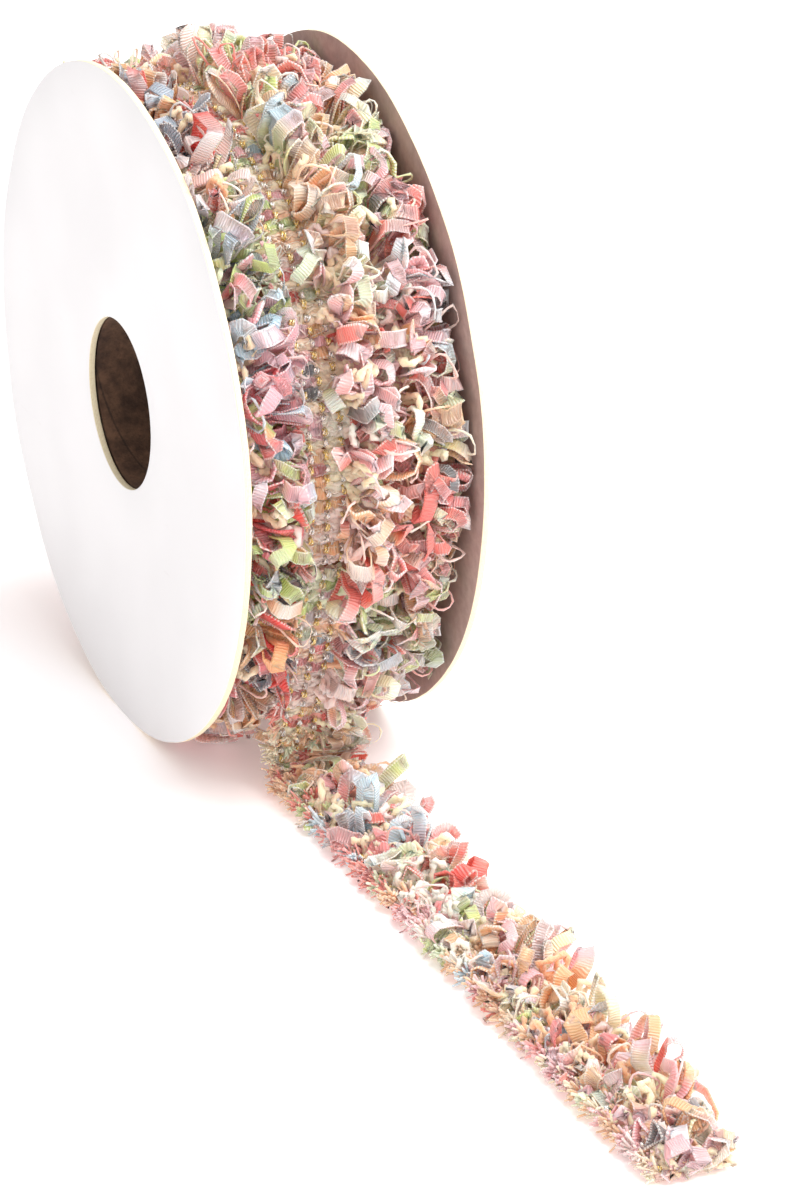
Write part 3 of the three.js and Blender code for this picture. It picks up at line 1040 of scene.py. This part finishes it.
for name in STUBS:
    stretch = STRETCHES[name]
    row, cell = np.nonzero(stretch["taped"])
    count = len(row)
    share = np.linspace(0, 1, CROSSING_SECTIONS)
    low = (CELL_EDGES[cell] + EDGE_ROOM)[:, None]
    high = (CELL_EDGES[cell + 1] - EDGE_ROOM)[:, None]
    along = (stretch["middles"][row] / MM + draw.normal(0, 0.2, count))[:, None] + 0 * share
    height = CROSSING_HEIGHT + draw.uniform(*BULGES, (count, 1)) * np.sin(math.pi * share)
    path = np.stack([along, low + (high - low) * share, height], -1)
    path = (path + draw.normal(0, 0.08, path.shape)) * MM
    broadside = unit(ALONG + draw.normal(0, 0.2, (count, 1, 3)))
    half_width = draw.uniform(*CROSSING_HALF_WIDTHS, (count, 1))
    half_width = half_width * (0.8 + 0.2 * np.sin(math.pi * share))
    dye = np.repeat(bleached(stretch["cell tapes"][row, cell], 0.1)[:, None], CROSSING_SECTIONS, 1)
    tapes(name + "_crossings", path, broadside, half_width, shaded(dye, 0.06))

    middle, weft = spots(stretch, WEFT_PITCH / STUBS[name], 0.4)
    count = len(middle)
    share = np.linspace(0, 1, STUB_SECTIONS)
    fan = draw.normal(0, 0.5, (count, 1))
    lift = draw.normal(0.35, 0.5, (count, 1))
    length = draw.uniform(*STUB_LENGTHS, (count, 1))
    start = draw.uniform(*STUB_STARTS, (count, 1))
    along = middle[:, None] / MM + length * np.sin(fan) * share
    across = CELL_EDGES[0] + start - length * np.cos(fan) * share
    path = np.stack([along, across, STUB_HEIGHT + length * np.sin(lift) * share], -1)
    path = (path + draw.normal(0, 0.1, path.shape)) * MM
    broadside = unit(ALONG + [0, 0, 0.3] + draw.normal(0, 0.5, (count, 1, 3)))
    half_width = draw.uniform(*STUB_HALF_WIDTHS, (count, 1))
    dye = np.repeat(bleached(tape_dye(stretch, weft, 1), 0.2)[:, None], STUB_SECTIONS, 1)
    tapes(name + "_stubs", path, broadside, half_width, shaded(dye, 0.05))

# Fluffy yarn loops. Soft, knobbly slub yarn in cream, beige and pink, in shorter loops between and
# under the tapes.

YARN_GAPS = {"tail": 0.6, "last_turn": 0.9, "left_turn": 1.4, "right_turn": 1.4, "under_turn": 4.0}
YARN_SECTIONS = 18
YARN_SIDES = 5
YARN_RADIUS = 0.48 * MM
YARN_KNOBS = 0.36
YARN_LENGTHS = (0.4, 0.95)  # shares of the length of the tape loops
YARN_OPENINGS = (0.4, 1.5)
YARN_WIDER = 1.5
YARN_CRUMPLE = 0.5

for name, stretch in STRETCHES.items():
    places, weft = spots(stretch, YARN_GAPS[name] * MM, 0.4)
    count = len(places)
    roots, left = rooted(stretch, places, YARN_WIDER)
    length = draw.uniform(*YARN_LENGTHS, count) * stretch["length"] * (1 - 0.3 * left) * MM
    opening = draw.uniform(*YARN_OPENINGS, count) * MM
    path, broadside = loops(stretch, roots, length, opening, YARN_CRUMPLE, YARN_SECTIONS)
    knob = 1 + YARN_KNOBS * (-1.0) ** np.arange(YARN_SECTIONS)[:, None]
    knob = knob * (1 + 0.16 * draw.standard_normal((count, YARN_SECTIONS, YARN_SIDES)))
    section = round_section(YARN_SIDES, YARN_RADIUS) * knob[..., None]
    dye = shaded(np.repeat(stretch["yarn"][weft][:, None], YARN_SECTIONS, 1), 0.07)
    strands(name + "_yarn", path, broadside, section, dye, yarn_finish)

# Cut fringe. On the band's left edge every weft is cut short and brushed out into a small fan of
# fibres, all in the colour of that weft. On the loose end such fans stand over the whole band.

HAIRS = {"tail": 16, "last_turn": 12, "left_turn": 4, "right_turn": 3, "under_turn": 2}
HAIR_SECTIONS = 4
FRINGE_TAPED = 0.7
FRINGE_BLEACH = 0.05
FRINGE_ROWS = {"tail": [0, 2.4, 4.8, 7.2]}  # mm in from the fringe at the edge
FAN_SPREAD = 0.42
HAIR_LENGTHS = (1.3, 2.9)
HAIR_RADII = (0.16, 0.30)
HAIR_HEIGHTS = (0.9, 1.7)

for name, stretch in STRETCHES.items():
    middle, weft = spots(stretch, WEFT_PITCH, 0.1)
    grid = np.meshgrid(np.arange(len(middle)), FRINGE_ROWS.get(name, [0]), indexing="ij")
    spot, row = (values.ravel() for values in grid)
    shown = (row == 0) | (middle[spot] > COVER_FROM)
    spot, row = spot[shown], row[shown]
    weft, inner = weft[spot], row > 0
    fans = len(spot)
    taped = draw.random((fans, 1)) < FRINGE_TAPED
    dye = np.where(taped, tape_dye(stretch, weft, 1), stretch["yarn"][weft])
    dye = bleached(dye, FRINGE_BLEACH)
    leaning = draw.normal(0, 0.2, fans)
    row = row + draw.normal(0, 0.5, fans) * inner

    fan = np.repeat(np.arange(fans), HAIRS[name])
    count = len(fan)
    aside = leaning[fan] + draw.normal(0, FAN_SPREAD, count)
    lift = draw.normal(0.45, 0.4, count) + 0.5 * inner[fan]
    length = draw.uniform(*HAIR_LENGTHS, count)
    reach = length[:, None] * np.linspace(0, 1, HAIR_SECTIONS)
    curl = draw.normal(0, 0.25, (2, count, 1)) * np.linspace(0, 1, HAIR_SECTIONS) ** 2
    along = middle[spot[fan], None] / MM + np.sin(aside)[:, None] * reach + curl[0]
    across = CELL_EDGES[0] + 1.0 + row[fan, None]
    across = across - (np.cos(aside) * np.cos(lift))[:, None] * reach
    height = draw.uniform(*HAIR_HEIGHTS, (count, 1)) + np.sin(lift)[:, None] * reach + curl[1]
    path = np.stack([along, across, height], -1)
    thick = draw.uniform(*HAIR_RADII, (count, 1)) * np.linspace(1.0, 0.85, HAIR_SECTIONS)
    section = round_section(3, MM) * thick[..., None, None]
    dye = shaded(dye[fan], 0.06)[:, None]
    broadside = ALONG + [0, 0, 0.3]
    strands(name + "_fringe", path * MM, broadside, section, dye, yarn_finish)
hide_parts("tail_brush")

# Ground of the loose end. The plain woven strip that carries the wefts and the stitches.

GROUND_LEFT = -7.3 * MM
GROUND_WIDTH = 10.0 * MM
GROUND_STEPS = 130
GROUND_LANES = 12
GROUND_THICKNESS = 0.8 * MM


def ground_weave():
    finish = Finish("ground_weave")
    yarns = finish.noise(1300.0, detail=4.0)
    shade = finish.mix(yarns.ramp(0.35, 0.65), linear(178, 140, 130, 1), linear(232, 208, 196, 1))
    return finish.surface(Base_Color=shade, Roughness=0.9, Normal=finish.bump(yarns, 0.6, 0.0003))


shape = bmesh.new()
bmesh.ops.create_grid(shape, x_segments=GROUND_STEPS, y_segments=GROUND_LANES, size=0.5)
for vertex in shape.verts:
    along = (vertex.co.x + 0.5) * (tail_length - MM)
    across = GROUND_LEFT + (vertex.co.y + 0.5) * GROUND_WIDTH
    vertex.co = Vector(lie(np.array([[along, across, GROUND_THICKNESS]]))[0])
bmesh.ops.recalc_face_normals(shape, faces=shape.faces[:])
bmesh.ops.solidify(shape, geom=shape.faces[:], thickness=-GROUND_THICKNESS * 0.8)
bmesh.ops.recalc_face_normals(shape, faces=shape.faces[:])
ground = link("tail_ground", finished(shape, "tail_ground"), ground_weave())
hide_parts("tail_band")

# Studio. A white floor under a white sky that is brighter in front and on the right, and one soft lamp,
# with the camera at the photograph's angle.

CAMERA_AZIMUTH = math.radians(23.12)
CAMERA_ELEVATION = math.radians(24.06)
CAMERA_PLACE = Vector((-281.05, -717.34, 359.27)) * MM
LENS_MM = 170.07
FLOOR_GLOW = (0.25, 0.205, 0.202, 1)  # lifts the shadows and warms them
SKY = 0.9
SKY_RIGHT = 0.2
SKY_FRONT = 0.42
SKY_COLOUR = (1.0, 0.98, 0.965, 1)
LAMP_PLACE = Vector((0.40, -0.24, 1.0))
LAMP_WATTS = 14.0
LAMP_SIZE = 0.9
LAMP_AIM = Vector((0, 0, 0.04))


def white_floor():
    finish = Finish("white_floor")
    haze = finish.noise(3.0, detail=1.0)
    shade = finish.mix(haze, (0.93, 0.945, 0.955, 1), (0.95, 0.965, 0.975, 1))
    return finish.surface(
        Base_Color=shade,
        Roughness=0.9,
        Emission_Color=FLOOR_GLOW,
        Emission_Strength=1.0,
    )


shape = bmesh.new()
bmesh.ops.create_grid(shape, x_segments=1, y_segments=1, size=3.0)
mesh = finished(shape, "studio_floor")
mesh.materials.append(white_floor())
floor = put("studio_floor", mesh)

world = bpy.data.worlds.new("studio_sky")
world.use_nodes = True
sky = Finish("studio_sky", world.node_tree)
way = sky.node("TexCoord", out="Generated")
to_right, to_back = (sky.node("SeparateXYZ", {}, {0: way}, out=axis) for axis in "XY")
strength = to_right * SKY_RIGHT - to_back * SKY_FRONT + SKY
background = world.node_tree.nodes["Background"]
background.inputs["Color"].default_value = SKY_COLOUR
sky.tree.links.new(strength.socket, background.inputs["Strength"])
bpy.context.scene.world = world

lamp = bpy.data.lights.new("key_lamp", "AREA")
lamp.energy = LAMP_WATTS
lamp.size = LAMP_SIZE
holder = put("key_lamp", lamp)
holder.location = LAMP_PLACE
holder.rotation_euler = (LAMP_AIM - LAMP_PLACE).to_track_quat("-Z", "Y").to_euler()

lens = bpy.data.cameras.new("camera")
lens.lens = LENS_MM
lens.sensor_width = 36.0
lens.clip_start = 0.05
lens.clip_end = 20.0
camera = put("camera", lens)
axle_shift = Vector((0, AXLE.y, 0))
camera.location = CAMERA_PLACE + axle_shift
forward = Vector(
    (
        math.sin(CAMERA_AZIMUTH) * math.cos(CAMERA_ELEVATION),
        math.cos(CAMERA_AZIMUTH) * math.cos(CAMERA_ELEVATION),
        -math.sin(CAMERA_ELEVATION),
    )
)
camera.rotation_euler = forward.to_track_quat("-Z", "Y").to_euler()
bpy.context.scene.camera = camera
bpy.context.scene.view_settings.view_transform = "Standard"

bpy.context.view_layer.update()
